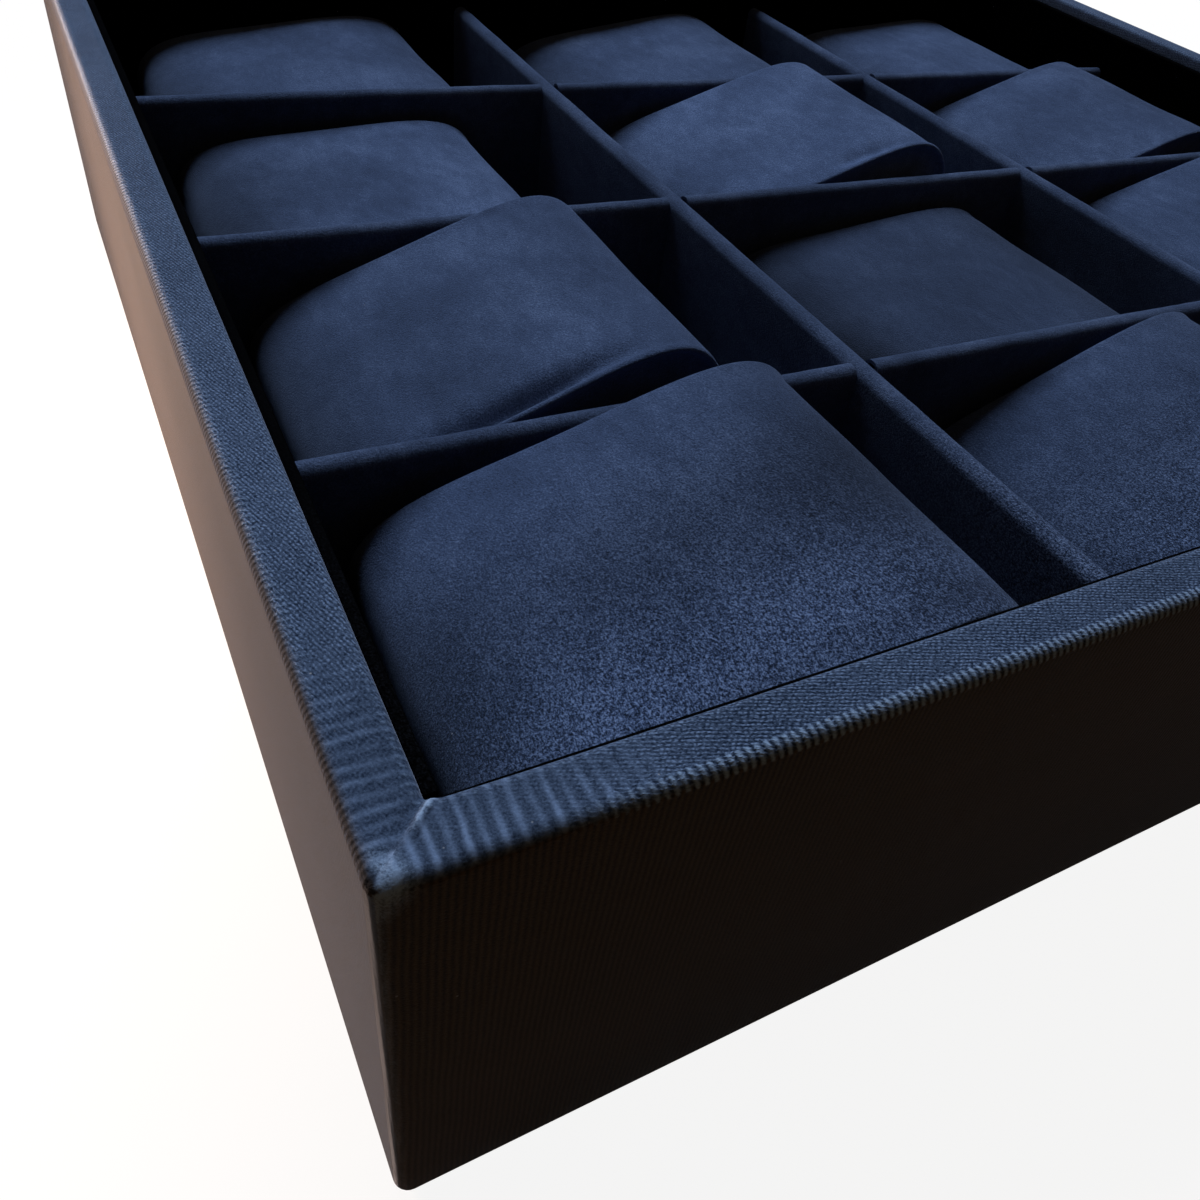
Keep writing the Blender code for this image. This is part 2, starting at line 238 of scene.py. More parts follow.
# Darker spots on the pillows' tops, on row 2 column 1 painted shade behind its front seam: place
# across and along the pillow, reach and depth
darker_spots = {
    (2, 1): (-4.0 * MM, -13.0 * MM, 7.0 * MM, 0.28),
    (1, 1): (-1.0 * MM, -1.0 * MM, 10.0 * MM, 0.16),
    (3, 1): (-12.0 * MM, 4.0 * MM, 9.0 * MM, 0.15),
}
darker_spot_blotch = 2.5 * MM

# Suede: sizes of its features, how strong each shows, and where the speckle is full and least
nap_patch = 17 * MM
nap_stroke = 2.2 * MM
nap_crumb = 0.80 * MM
nap_tuft = 0.25 * MM
nap_fibre = 0.18 * MM
patch_contrast = 0.22
stroke_contrast = 0.14
crumb_contrast = 0.30
speckle_contrast = 2.6
speckle_start = -56 * MM
speckle_full = -98 * MM
speckle_least = 0.22
nap_stops = (0.28, 0.50, 0.78)
suede_relief = 0.45 * MM
pillow_sheen = 0.25
divider_sheen = 0.15
# Painted light on the lit top edges of the divider covers and linings: how much lighter, and from
# how far below the top
divider_top_light = 0.40
divider_top_light_drop = 1.5 * MM
lining_top_light = 1.5
lining_top_light_drop = 0.8 * MM
top_light_blend = 0.8 * MM

# Lint, and painted glints on the rim: spacing, size and share of the places that have one, then
# how strong they are
suede_lint = (3.2 * MM, 0.14 * MM, 0.14)
suede_lint_strength = 0.55
twill_lint = (4.2 * MM, 0.14 * MM, 0.22)
twill_lint_strength = 0.6
twill_glints = (1.2 * MM, 0.12 * MM, 0.30)
twill_glint_strength = 0.45

# Twill: sizes of the noise that makes it wander, waver, cloud and fray, and its relief
twill_drift = 7.0 * MM
twill_jitter = 1.1 * MM
twill_cloud = 12 * MM
twill_patch = 1.6 * MM
twill_fuzz = 0.20 * MM
twill_relief = 0.12 * MM

# Boards, cards and felt
board_grain = 0.6 * MM
card_grain = 0.4 * MM
board_relief = 0.1 * MM
felt_tuft = 0.9 * MM
felt_relief = 0.35 * MM

# Twill, in millimetres of its own weave map: how it slants, and its lines, stitches and bars
slant_along = 0.93
slant_across = 0.36
line_pitch = 0.36
stitch_pitch = 0.43
bar_pitch = 1.24
bar_cluster_pitch = 3.1
bars_end = 27.0
bars_full = 8.0
strays_end = 60.0
strays_full = 20.0
rope_pitch = 0.80
rib_pitch = 0.60
side_rim_shift = 0.7

# Bands across the twill strip, from the rim's outer edge: where each is nil, where it is full
rim_band = (-0.8, -0.1)
outer_bar_band = (4.8, 0.6)
rope_below = (-1.25, -0.75)
rope_above = (1.15, 0.65)
side_rope_below = (-0.9, -0.5)
side_rope_above = (1.7, 1.2)
hem_outside = (4.1, 4.5)
hem_inside = (5.5, 5.1)
side_fray_band = (0.1, 0.8)
gloss_band = (-0.75, -1.10)

# Colours, linear. Those of suede are its depths, its nap and the nap's tips
pillow_colours = (
    (0.0046, 0.0078, 0.0190, 1.0),
    (0.0355, 0.0600, 0.1340, 1.0),
    (0.1370, 0.2100, 0.4100, 1.0),
)
# Divider suede: the pillows' suede made darker and less blue, painted shade for the dividers'
# shaded faces
shaded_divider_colours = (
    (0.0032, 0.0052, 0.0120, 1.0),
    (0.0250, 0.0405, 0.0860, 1.0),
    (0.0960, 0.1420, 0.2650, 1.0),
)
# Lining suede: the same suede made near black, painted shade for the linings in the compartments'
# shade
shaded_lining_colours = (
    (0.0003, 0.0003, 0.0004, 1.0),
    (0.0007, 0.0008, 0.0011, 1.0),
    (0.0018, 0.0022, 0.0032, 1.0),
)
suede_sheen_tint = (0.42, 0.58, 1.0, 1.0)
twill_sheen_tint = (0.58, 0.70, 1.0, 1.0)
# One cloth in three colourings, painted light: cool blue on the rim, grey on the side walls, warm
# brown on the end walls
cloth_gap = (0.008, 0.015, 0.034, 1.0)
cloth_thread = (0.120, 0.188, 0.345, 1.0)
side_gap = (0.005, 0.0045, 0.004, 1.0)
side_thread = (0.036, 0.036, 0.041, 1.0)
end_thread = (0.070, 0.056, 0.042, 1.0)
# Pale blue of worn cloth, also the painted highlights on the rim's beads and the folds' ridges
cloth_wear_and_highlight = (0.19, 0.29, 0.48, 1.0)
# Lint, and on the covering also the painted glints
lint_and_glint_colour = (0.30, 0.34, 0.42, 1.0)
board_colours = ((0.20, 0.13, 0.075, 1.0), (0.42, 0.31, 0.20, 1.0))
card_colours = ((0.15, 0.145, 0.14, 1.0), (0.30, 0.29, 0.275, 1.0))
felt_colours = ((0.004, 0.004, 0.005, 1.0), (0.030, 0.030, 0.034, 1.0))
white = (1.0, 1.0, 1.0, 1.0)
floor_colour = (0.95, 0.95, 0.95, 1.0)
floor_bounce = (0.20, 0.11, 0.045, 1.0)
floor_glow_share = 0.90
sky_colour = (1.0, 0.64, 0.36, 1.0)
sky_strength = 0.07

# Floor and lamps
floor_size = 8000 * MM
floor_drop = 0.3 * MM
key_lamp_place = (220 * MM, 1150 * MM, 1350 * MM)
key_lamp_size = (1000 * MM, 1000 * MM)
key_lamp_power = 39.0
key_lamp_colour = (0.92, 0.96, 1.0)
side_lamp_place = (-200 * MM, 30 * MM, 40 * MM)
side_lamp_size = (60 * MM, 40 * MM)
side_lamp_power = 0.85
side_lamp_colour = (1.0, 0.63, 0.40)


def deselect_all():
    """Leaves edit mode and selects nothing."""
    if bpy.context.object is not None and bpy.context.object.mode != "OBJECT":
        bpy.ops.object.mode_set(mode="OBJECT")
    bpy.ops.object.select_all(action="DESELECT")


def make_active(obj):
    deselect_all()
    obj.select_set(True)
    bpy.context.view_layer.objects.active = obj


def apply_modifier(obj, modifier):
    make_active(obj)
    bpy.ops.object.modifier_apply(modifier=modifier.name)


def share_of(value, start, reach):
    """How far a value has come from its start over a reach, kept between 0 and 1."""
    return min(1.0, max(0.0, (value - start) / reach))


def smooth(share):
    """Eases a share between 0 and 1 at both ends."""
    return share * share * (3 - 2 * share)


def bell(value, place, reach):
    """1 where a value is at a place, and less the farther it is off, over a reach."""
    return math.exp(-((value - place) / reach) ** 2)


def merge_and_close(obj, distance):
    """Merges doubled vertices and turns the faces outwards."""
    make_active(obj)
    bpy.ops.object.mode_set(mode="EDIT")
    bpy.ops.mesh.select_all(action="SELECT")
    bpy.ops.mesh.remove_doubles(threshold=distance)
    bpy.ops.mesh.normals_make_consistent(inside=False)
    bpy.ops.object.mode_set(mode="OBJECT")


# Camera, as fitted to the photo's straight edges

lens_length = 30.93
sensor_width = 36.0
lens_shift = (-0.0412, -0.0147)
nearest_seen = 1 * MM
eye = Vector((-129.39 * MM, -142.31 * MM, 114.53 * MM))
view_right = Vector((0.87796846, -0.46020328, 0.13184965))
view_up = Vector((0.23063205, 0.64797101, 0.72590801))
view_forward = Vector((0.41949999, 0.60691558, -0.67503573))


def add_camera():
    data = bpy.data.cameras.new("Camera")
    data.lens = lens_length
    data.sensor_width = sensor_width
    data.shift_x, data.shift_y = lens_shift
    data.clip_start = nearest_seen
    camera = bpy.data.objects.new("Camera", data)
    bpy.context.scene.collection.objects.link(camera)
    turn = Matrix((view_right, view_up, -view_forward)).transposed()
    camera.matrix_world = Matrix.Translation(eye) @ turn.to_4x4()
    bpy.context.scene.camera = camera


# Materials

class Shade:
    """A socket in a material. Sums and products of shades add Math nodes."""

    def __init__(self, tree, socket):
        self.tree = tree
        self.socket = socket

    def node(self, kind, settings, inputs, output=0):
        """Adds a node. Its settings are set first, then the values or links of its sockets."""
        made = self.tree.nodes.new(kind)
        for name, setting in settings.items():
            if name == "stops":
                ramp = made.color_ramp
                while len(ramp.elements) < len(setting):
                    ramp.elements.new(0.5)
                for element, (place, colour) in zip(ramp.elements, setting):
                    element.position = place
                    element.color = colour
            else:
                setattr(made, name, setting)
        for name, value in inputs.items():
            if isinstance(value, Shade):
                self.tree.links.new(value.socket, made.inputs[name])
            else:
                made.inputs[name].default_value = value
        return Shade(self.tree, made.outputs[output])

    def maths(self, operation, *values):
        """Adds a Math node on these values."""
        return self.node("ShaderNodeMath", {"operation": operation}, dict(enumerate(values)))

    def __add__(self, other):
        return self.maths("ADD", self, other)

    __radd__ = __add__

    def __sub__(self, other):
        return self.maths("SUBTRACT", self, other)

    def __rsub__(self, other):
        return self.maths("SUBTRACT", other, self)

    def __mul__(self, other):
        return self.maths("MULTIPLY", self, other)

    __rmul__ = __mul__

    def wave(self, pitch):
        """A smooth wave from 0 to 1 along this length."""
        return self.maths("SINE", self * (2 * math.pi / pitch)) * 0.5 + 0.5

    def fade(self, start, end):
        """0 below start, 1 above end, and smooth between. It falls if start is the larger."""
        if start < end:
            limits = {"From Min": start, "From Max": end, "To Min": 0.0, "To Max": 1.0}
        else:
            limits = {"From Min": end, "From Max": start, "To Min": 1.0, "To Max": 0.0}
        limits["Value"] = self
        return self.node("ShaderNodeMapRange", {"interpolation_type": "SMOOTHSTEP"}, limits)

    def ramp(self, *stops):
        """A colour from stops of a place and its colour."""
        return self.node("ShaderNodeValToRGB", {"stops": stops}, {"Fac": self})

    def blend(self, low, high):
        """Colour between low and high, by this shade."""
        settings = {"data_type": "RGBA", "clamp_factor": True}
        return self.node("ShaderNodeMix", settings, {0: self, 6: low, 7: high}, 2)

    def part(self, number):
        """One part of this vector: 0 along X, 1 along Y and 2 along Z."""
        return self.node("ShaderNodeSeparateXYZ", {}, {"Vector": self}, number)

    def beside(self, other):
        """A vector with this length along X and the other along Y."""
        return self.node("ShaderNodeCombineXYZ", {}, {"X": self, "Y": other})

    def attribute(self, name):
        """A number that the mesh stores at each of its points."""
        return self.node("ShaderNodeAttribute", {"attribute_name": name}, {}, "Fac")

    def stretched(self, scale, turn=(0.0, 0.0, 0.0)):
        """These coordinates turned by some angles and stretched."""
        inputs = {"Vector": self, "Rotation": turn, "Scale": scale}
        return self.node("ShaderNodeMapping", {}, inputs)

    def grain(self, size, detail=2.0, roughness=0.5):
        """Noise over these coordinates, with features of about this size."""
        inputs = {"Vector": self, "Scale": 1.0 / size, "Detail": detail, "Roughness": roughness}
        return self.node("ShaderNodeTexNoise", {}, inputs)

    def specks(self, spacing, size, share):
        """Small scattered dots, 1 inside and 0 outside, in this share of the cells."""
        cell = {"Vector": self, "Scale": 1.0 / spacing}
        distance = self.node("ShaderNodeTexVoronoi", {}, cell)
        colour = self.node("ShaderNodeTexVoronoi", {}, cell, 1)
        pick = colour.node("ShaderNodeSeparateColor", {}, {"Color": colour})
        inside = distance.fade(size / spacing, 0.5 * size / spacing)
        return inside * pick.maths("LESS_THAN", pick, share)


def start_material(name):
    """A material, its shader, and the object's own coordinates as a shade to build from."""
    material = bpy.data.materials.new(name)
    material.use_nodes = True
    tree = material.node_tree
    shader = tree.nodes["Principled BSDF"]
    places = Shade(tree, tree.nodes.new("ShaderNodeTexCoord").outputs["Object"])
    return material, shader, places


def connect(shader, name, shade):
    shade.tree.links.new(shade.socket, shader.inputs[name])


def set_finish(shader, values):
    """Sets what is the same all over a surface, on the shader's own sockets."""
    for name, value in values.items():
        shader.inputs[name].default_value = value


def add_bump(shader, height, distance, strength):
    """Raises the surface by this height, from 0 to 1 over a distance."""
    inputs = {"Height": height, "Distance": distance, "Strength": strength}
    connect(shader, "Normal", height.node("ShaderNodeBump", {}, inputs))


def make_suede(name, colours, sheen, lit_level=1.0, top_light=0.0):
    """Brushed suede: a fibre speckle, faint patches where the nap lies over and a little lint.

    Above a given level the nap is lighter by a given share: painted light on a lit top edge.
    """
    material, shader, places = start_material(name)
    patches = places.grain(nap_patch)
    strokes = places.stretched((1.0, 0.5, 1.0), (0.0, 0.0, 0.5)).grain(nap_stroke, 2.0, 0.6)
    crumbs = places.grain(nap_crumb, 3.0, 0.6)
    tufts = places.grain(nap_tuft, 3.0, 0.75)
    fibres = places.stretched((1.0, 0.5, 1.0), (0.3, 0.0, 0.9)).grain(nap_fibre, 2.0, 0.6)
    front = places.part(1).fade(speckle_start, speckle_full)
    depth = front * (1.0 - speckle_least) + speckle_least
    fine = (tufts * 0.6 + fibres * 0.4 - 0.5) * speckle_contrast
    fine = fine + (crumbs - 0.5) * crumb_contrast
    nap = 0.5 + fine * depth
    nap = nap + (strokes - 0.5) * stroke_contrast + (patches - 0.5) * patch_contrast
    colour = nap.ramp(*zip(nap_stops, colours))
    # The stored tone: the nap's own lightness with painted light and shade in it
    tone = nap.attribute("nap_tone") + 1.0
    # Painted light: lighter above the level, where the top edge catches the light
    if top_light:
        tone = tone + places.part(2).fade(lit_level, lit_level + top_light_blend) * top_light
    colour = nap.node("ShaderNodeVectorMath", {"operation": "SCALE"}, {0: colour, "Scale": tone})
    lint = places.specks(*suede_lint) * suede_lint_strength
    connect(shader, "Base Color", lint.blend(colour, lint_and_glint_colour))
    add_bump(shader, tufts * 0.7 + fibres * 0.3 + strokes * 0.4, suede_relief, 0.8)
    set_finish(shader, {
        "Roughness": 0.95,
        "Specular IOR Level": 0.0,
        "Sheen Weight": sheen,
        "Sheen Roughness": 0.5,
        "Sheen Tint": suede_sheen_tint,
    })
    return material


def twill_stitches(along, across, drift, jitter, patchy):
    """Slanting lines of small uneven stitches, and the dashes that their yarn shows."""
    run = along * slant_along + across * slant_across
    offset = across * slant_along - along * slant_across + drift * 0.4 + jitter * 0.30
    lines = offset.wave(line_pitch)
    stitches = (run + offset * 0.5 + jitter * 0.9).wave(stitch_pitch) * 0.50 + 0.25
    dashes = (run * 1.3).beside(offset * 2.4).grain(0.42, 1.0, 0.5).fade(0.38, 0.60)
    twill = lines * stitches * (patchy * 1.2 + 0.2) * (dashes * 0.9 + 0.45) + dashes * 0.16
    return twill, dashes


def corner_bars(along, across, lengthwise, drift, patchy):
    """Raised bars across the rim that come and go, weaker on the side walls."""
    clusters = (along + drift * 2.0).wave(bar_cluster_pitch) * 0.5 + 0.5
    bars = (along + drift * 1.2).wave(bar_pitch)
    outer_share = across.fade(*outer_bar_band) * 0.6 + 0.4
    bars = bars * bars * clusters * (patchy * 1.5 + 0.1) * outer_share
    return bars * (lengthwise * 0.45 + 0.50) + 0.12


def edge_rope(along, across, inward, lengthwise, by_corner, jitter):
    """Beads of thread along the rim's outer edge, and faint ones along its inner edge."""
    edge = across.fade(*rope_below) * across.fade(*rope_above) * lengthwise
    side_edge = inward.fade(*side_rope_below) * across.fade(*side_rope_above)
    edge = edge + side_edge * (1.0 - lengthwise) * 0.38
    hem = across.fade(*hem_outside) * across.fade(*hem_inside)
    beads = (along - across * 0.22 + jitter * 0.25).wave(rope_pitch)
    return beads * (edge * (1.0 - by_corner) + hem * 0.4)


def make_twill():
    """Twill covering: slanting stitches, bars across the rim by the corners, worn edges, and
    painted light and highlights.
    """
    material, shader, places = start_material("twill_covering")
    weave = places.node("ShaderNodeUVMap", {"uv_map": "Weave"}, {})
    along = weave.part(0)
    across = weave.part(1)
    wear = along.attribute("wear")
    corner = along.attribute("corner_run")
    lengthwise = along.attribute("lengthwise")
    inward = across - (1.0 - lengthwise) * side_rim_shift
    by_corner = corner.fade(bars_end, bars_full)
    on_rim = inward.fade(*rim_band)
    drift = places.grain(twill_drift) - 0.5
    jitter = places.grain(twill_jitter) - 0.5
    fuzz = places.grain(twill_fuzz, 2.0, 0.6)
    cloudy = places.grain(twill_cloud, 3.0)
    patchy = places.grain(twill_patch)
    twill, dashes = twill_stitches(along, across, drift, jitter, patchy)
    bars = corner_bars(along, across, lengthwise, drift, patchy)
    rope = edge_rope(along, across, inward, lengthwise, by_corner, jitter)
    strays = (along + across * 0.06).beside(0.0).grain(1.7).fade(0.66, 0.72)
    strays = strays * corner.fade(strays_end, strays_full) * (patchy * 1.6 - 0.2)
    rim = by_corner * (bars + twill * 0.14) + (1.0 - by_corner) * twill + strays * 0.8
    ribs = (along + across * 0.03 + drift * 0.4).wave(rib_pitch)
    creases = (along * 0.05).beside(across).grain(1.3, 3.0, 0.6)
    side_threads = ribs * 0.5 + dashes * 0.2 + creases * 0.2
    threads = on_rim * rim + (1.0 - on_rim) * side_threads
    # Painted light: lighter side rims away from the corners, and lighter end rims by the corners
    painted_light = (1.0 - lengthwise) * (1.0 - by_corner) * 0.07 + lengthwise * by_corner * 0.06
    lift = threads * 1.05 + fuzz * 0.75 + cloudy * 0.2 + on_rim * painted_light - 0.46
    # Painted light: the walls' outer faces grey at the sides and warm brown at the ends, the rim
    # blue
    sides = lift.blend(side_gap, lengthwise.blend(side_thread, end_thread))
    cloth = on_rim.blend(sides, lift.blend(cloth_gap, cloth_thread))
    frayed = wear * (fuzz * 1.5 + threads * 0.4 + patchy * 0.6 - 0.3)
    frayed = frayed * (lengthwise + (1.0 - lengthwise) * across.fade(*side_fray_band))
    # Frayed wear, and the beads along the rim's edges painted light as highlights
    wear_and_highlight_mix = (frayed + rope * (dashes * 0.30 + 0.60)).fade(0.10, 0.95)
    # Painted glints on the rim's threads
    glints = places.specks(*twill_glints) * on_rim * twill_glint_strength
    lint = places.specks(*twill_lint) * twill_lint_strength
    specks = lint.maths("MAXIMUM", lint, glints)
    colour = wear_and_highlight_mix.blend(cloth, cloth_wear_and_highlight)
    connect(shader, "Base Color", specks.blend(colour, lint_and_glint_colour))
    add_bump(shader, threads * 0.6 + fuzz * 0.4 + rope * 1.2, twill_relief, 0.7)
    connect(shader, "Coat Weight", across.fade(*gloss_band) * (0.11 - lengthwise * 0.085))
    set_finish(shader, {
        "Coat Roughness": 0.42,
        "Roughness": 0.75,
        "Specular IOR Level": 0.0,
        "Sheen Weight": 0.30,
        "Sheen Roughness": 0.35,
        "Sheen Tint": twill_sheen_tint,
    })
    return material


def make_board(name, colours, grain_size):
    """Pressed board or card: short matted fibres."""
    material, shader, places = start_material(name)
    fibres = places.stretched((1.0, 0.35, 1.0)).grain(grain_size, 4.0, 0.6)
    connect(shader, "Base Color", fibres.blend(*colours))
    add_bump(shader, fibres, board_relief, 0.6)
    set_finish(shader, {"Roughness": 0.85})
    return material


def make_felt():
    """Black felt: short tufts with a little sheen."""
    material, shader, places = start_material("black_felt")
    tufts = places.grain(felt_tuft, 4.0, 0.7)
    connect(shader, "Base Color", tufts.blend(*felt_colours))
    add_bump(shader, tufts, felt_relief, 0.8)
    set_finish(shader, {"Roughness": 0.95, "Sheen Weight": 0.15})
    return material


# Covering

def quarter_turn(steps):
    """Sine and cosine at even steps from 0 to a quarter turn."""
    for step in range(steps + 1):
        angle = math.pi / 2 * step / steps
        yield math.sin(angle), math.cos(angle)


def wrap_section():
    """Section of the covering as (inset from the outer face, level), from lip to turn-in."""
    low = wrap_lip_lift + wrap_bottom_radius
    high = tray_height - wrap_top_radius
    rim_end = wall_thickness - wrap_inside_radius
    inside_top = tray_height - wrap_inside_radius
    points = []
    for step in range(lip_steps):
        inset = wall_thickness + (wrap_bottom_radius - wall_thickness) * step / lip_steps
        points.append((inset, wrap_lip_lift))
    for sine, cosine in quarter_turn(bottom_arc_steps):
        level = wrap_lip_lift + wrap_bottom_radius * (1 - cosine)
        points.append((wrap_bottom_radius * (1 - sine), level))
    for step in range(1, face_steps):
        points.append((0.0, low + (high - low) * step / face_steps))
    for sine, cosine in quarter_turn(top_arc_steps):
        points.append((wrap_top_radius * (1 - cosine), high + wrap_top_radius * sine))
    for step in range(1, rim_steps):
        inset = wrap_top_radius + (rim_end - wrap_top_radius) * step / rim_steps
        points.append((inset, tray_height))
    for sine, cosine in quarter_turn(inside_arc_steps):
        level = tray_height - wrap_inside_radius * (1 - cosine)
        points.append((rim_end + wrap_inside_radius * sine, level))
    for step in range(1, turn_in_steps + 1):
        level = inside_top + (wrap_turn_in_bottom - inside_top) * step / turn_in_steps
        points.append((wall_thickness, level))
    return points


def wrap_stations():
    """Places round the tray: a share of a corner's turn, or a run along a wall from its corner."""
    stations = []
    for corner in range(4):
        half_run = (outer_width if corner % 2 == 0 else outer_length) / 2
        runs = [fan_length * (step / fan_steps) ** fan_crowding for step in range(fan_steps)]
        count = max(1, round((half_run - fan_length) / wall_step))
        runs += [fan_length + (half_run - fan_length) * step / count for step in range(count)]
        stations += [("arc", corner, step / corner_arc_steps) for step in range(corner_arc_steps)]
        stations += [("from", corner, run) for run in runs]
        stations.append(("middle", corner, half_run))
        stations += [("to", corner, run) for run in reversed(runs)]
    return stations


def wrap_point(station, inset):
    """Plan place of a station at an inset from the outer face."""
    kind, corner, amount = station
    narrowing = wrap_inner_corner_radius - wrap_corner_radius
    radius = wrap_corner_radius + narrowing * inset / wall_thickness
    signs = ((1, -1), (1, 1), (-1, 1), (-1, -1))
    sign_x, sign_y = signs[corner]
    reach = inset + radius
    if kind == "arc":
        angle = math.pi / 2 * (corner - 1 + amount)
        x = sign_x * (outer_length / 2 - reach) + radius * math.cos(angle)
        y = sign_y * (outer_width / 2 - reach) + radius * math.sin(angle)
        return Vector((x, y))
    run = amount
    if run < fan_length:
        run = reach + (fan_length - reach) * run / fan_length
    if kind == "to":
        sign_x, sign_y = signs[(corner + 1) % 4]
    if corner % 2 == 0:
        x = signs[corner][0] * (outer_length / 2 - inset)
        y = 0.0 if kind == "middle" else sign_y * (outer_width / 2 - run)
    else:
        x = 0.0 if kind == "middle" else sign_x * (outer_length / 2 - run)
        y = signs[corner][1] * (outer_width / 2 - inset)
    return Vector((x, y))


def from_faces(x, y):
    """How far a place is inside the nearer side face, and inside the nearer end face."""
    return outer_length / 2 - abs(x), outer_width / 2 - abs(y)


def by_inner_corner(x, y):
    """1 at the inner end of a mitre, 0 from its middle outwards."""
    out = sum(from_faces(x, y)) / math.sqrt(2)
    return smooth(share_of(out, inner_fold_start, inner_fold_blend))


def fold_height(x, y):
    """Extra height of the mitred fold at a corner: the end strips lie over the side strips."""
    from_side, from_end = from_faces(x, y)
    over = (from_side - from_end) / math.sqrt(2)
    out = (from_side + from_end) / math.sqrt(2)
    if out > 3 * fan_length:
        return 0.0
    inner = by_inner_corner(x, y)
    step = 1 / (1 + math.exp(-over / fold_step_width))
    fading = math.exp(-max(over, 0.0) / fold_reach)
    wobble = noise.noise(Vector((x / fold_wobble_size, y / fold_wobble_size, 3.0)))
    lump = bell(out, *corner_lump) * bell(over, 0.0, corner_lump_side_reach)
    height = fold_step_height * step * fading * (0.3 + 0.7 * inner)
    height += fold_ridge_height * bell(over, *fold_ridge) * (0.15 + inner + 0.3 * wobble)
    height -= fold_groove_depth * bell(over, *fold_groove) * (0.3 + 0.7 * inner)
    height += corner_lump_height * lump * (0.8 + 0.9 * wobble)
    return height


def wear_and_highlight_at(x, y, on_top):
    """How worn the covering is along the rim's edges, down the corners and on the tips, with a
    painted highlight on the folds' ridges.
    """
    from_side, from_end = from_faces(x, y)
    over = (from_side - from_end) / math.sqrt(2)
    edge = bell(min(from_side, from_end), *worn_edge) * on_top
    edge *= side_edge_wear if from_side < from_end else end_edge_wear
    upright = bell(max(from_side, from_end), 0.0, upright_wear_reach) * upright_wear
    tip = math.exp(-(math.hypot(from_side, from_end) / tip_wear_reach) ** 3) * on_top
    # Painted highlight along the fold's ridge
    ridge = bell(over, *ridge_highlight_place) * on_top * ridge_highlight * by_inner_corner(x, y)
    return min(1.0, max(edge, upright, tip, ridge))


def add_weave_map(mesh, stations, rows_across):
    """Maps the covering's own length and width, in millimetres, from the rim's outer edge."""
    count = len(stations)
    layer = mesh.uv_layers.new(name="Weave")
    for polygon in mesh.polygons:
        first = min(index % (count + 1) for index in polygon.vertices)
        kind, corner, amount = stations[first % count]
        side = corner if kind != "arc" or amount >= 0.5 else (corner - 1) % 4
        for loop_index in polygon.loop_indices:
            index = mesh.loops[loop_index].vertex_index
            co = mesh.vertices[index].co
            along = (co.y if side % 2 == 0 else co.x) * (1 if side < 2 else -1)
            across = rows_across[index // (count + 1)]
            layer.data[loop_index].uv = (along / MM, across / MM)


def build_wrap(material):
    """The covering: one strip round the tray, with mitred folds, its weave map, and its wear with
    a painted highlight on the folds' ridges.
    """
    section = wrap_section()
    stations = wrap_stations()
    count = len(stations)
    bpy.ops.mesh.primitive_grid_add(
        x_subdivisions=count, y_subdivisions=len(section) - 1, size=1.0, location=(0, 0, 0))
    wrap = bpy.context.object
    wrap.name = "wrap_cloth"
    mesh = wrap.data
    lengths = [0.0]
    for before, after in zip(section, section[1:]):
        lengths.append(lengths[-1] + math.dist(before, after))
    face_end = tray_height - wrap_top_radius
    face = [number for number, (inset, level) in enumerate(section)
            if inset == 0.0 and level <= face_end]
    rim_start = lengths[face[-1]] + wrap_top_radius * math.pi / 4
    wear = mesh.attributes.new("wear", "FLOAT", "POINT")
    corner_run = mesh.attributes.new("corner_run", "FLOAT", "POINT")
    lengthwise = mesh.attributes.new("lengthwise", "FLOAT", "POINT")
    for vertex in mesh.vertices:
        row, number = divmod(vertex.index, count + 1)
        inset, level = section[row]
        x, y = wrap_point(stations[number % count], inset)
        on_top = share_of(level, tray_height - top_wear_drop, top_wear_blend)
        vertex.co = (x, y, level + on_top * fold_height(x, y))
        from_side, from_end = from_faces(x, y)
        corner_run.data[vertex.index].value = max(from_side, from_end) / MM
        lengthwise.data[vertex.index].value = 1.0 if from_end < from_side else 0.0
        wear.data[vertex.index].value = wear_and_highlight_at(x, y, on_top)
    add_weave_map(mesh, stations, [length - rim_start for length in lengths])
    mesh.materials.append(material)
    merge_and_close(wrap, 0.01 * MM)
    shell = wrap.modifiers.new("Cloth thickness", "SOLIDIFY")
    shell.thickness = wrap_thickness - wrap_clearance
    shell.offset = -1.0
    shell.use_even_offset = True
    apply_modifier(wrap, shell)
    bpy.ops.object.shade_smooth()
    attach(wrap, "tray")
    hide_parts("outer_wrap")


# Divider covers

def fold_points():
    """Outer section of a folded cover as (across, level), from one foot to the other."""
    radius = divider_thickness / 2
    fold = divider_top - radius
    points = []
    for step in range(cover_side_steps):
        points.append((radius, seat_level + (fold - seat_level) * step / cover_side_steps))
    for step in range(cover_fold_steps + 1):
        angle = math.pi * step / cover_fold_steps
        points.append((radius * math.cos(angle), fold + radius * math.sin(angle)))
    for step in range(1, cover_side_steps + 1):
        points.append((-radius, fold + (seat_level - fold) * step / cover_side_steps))
    return points


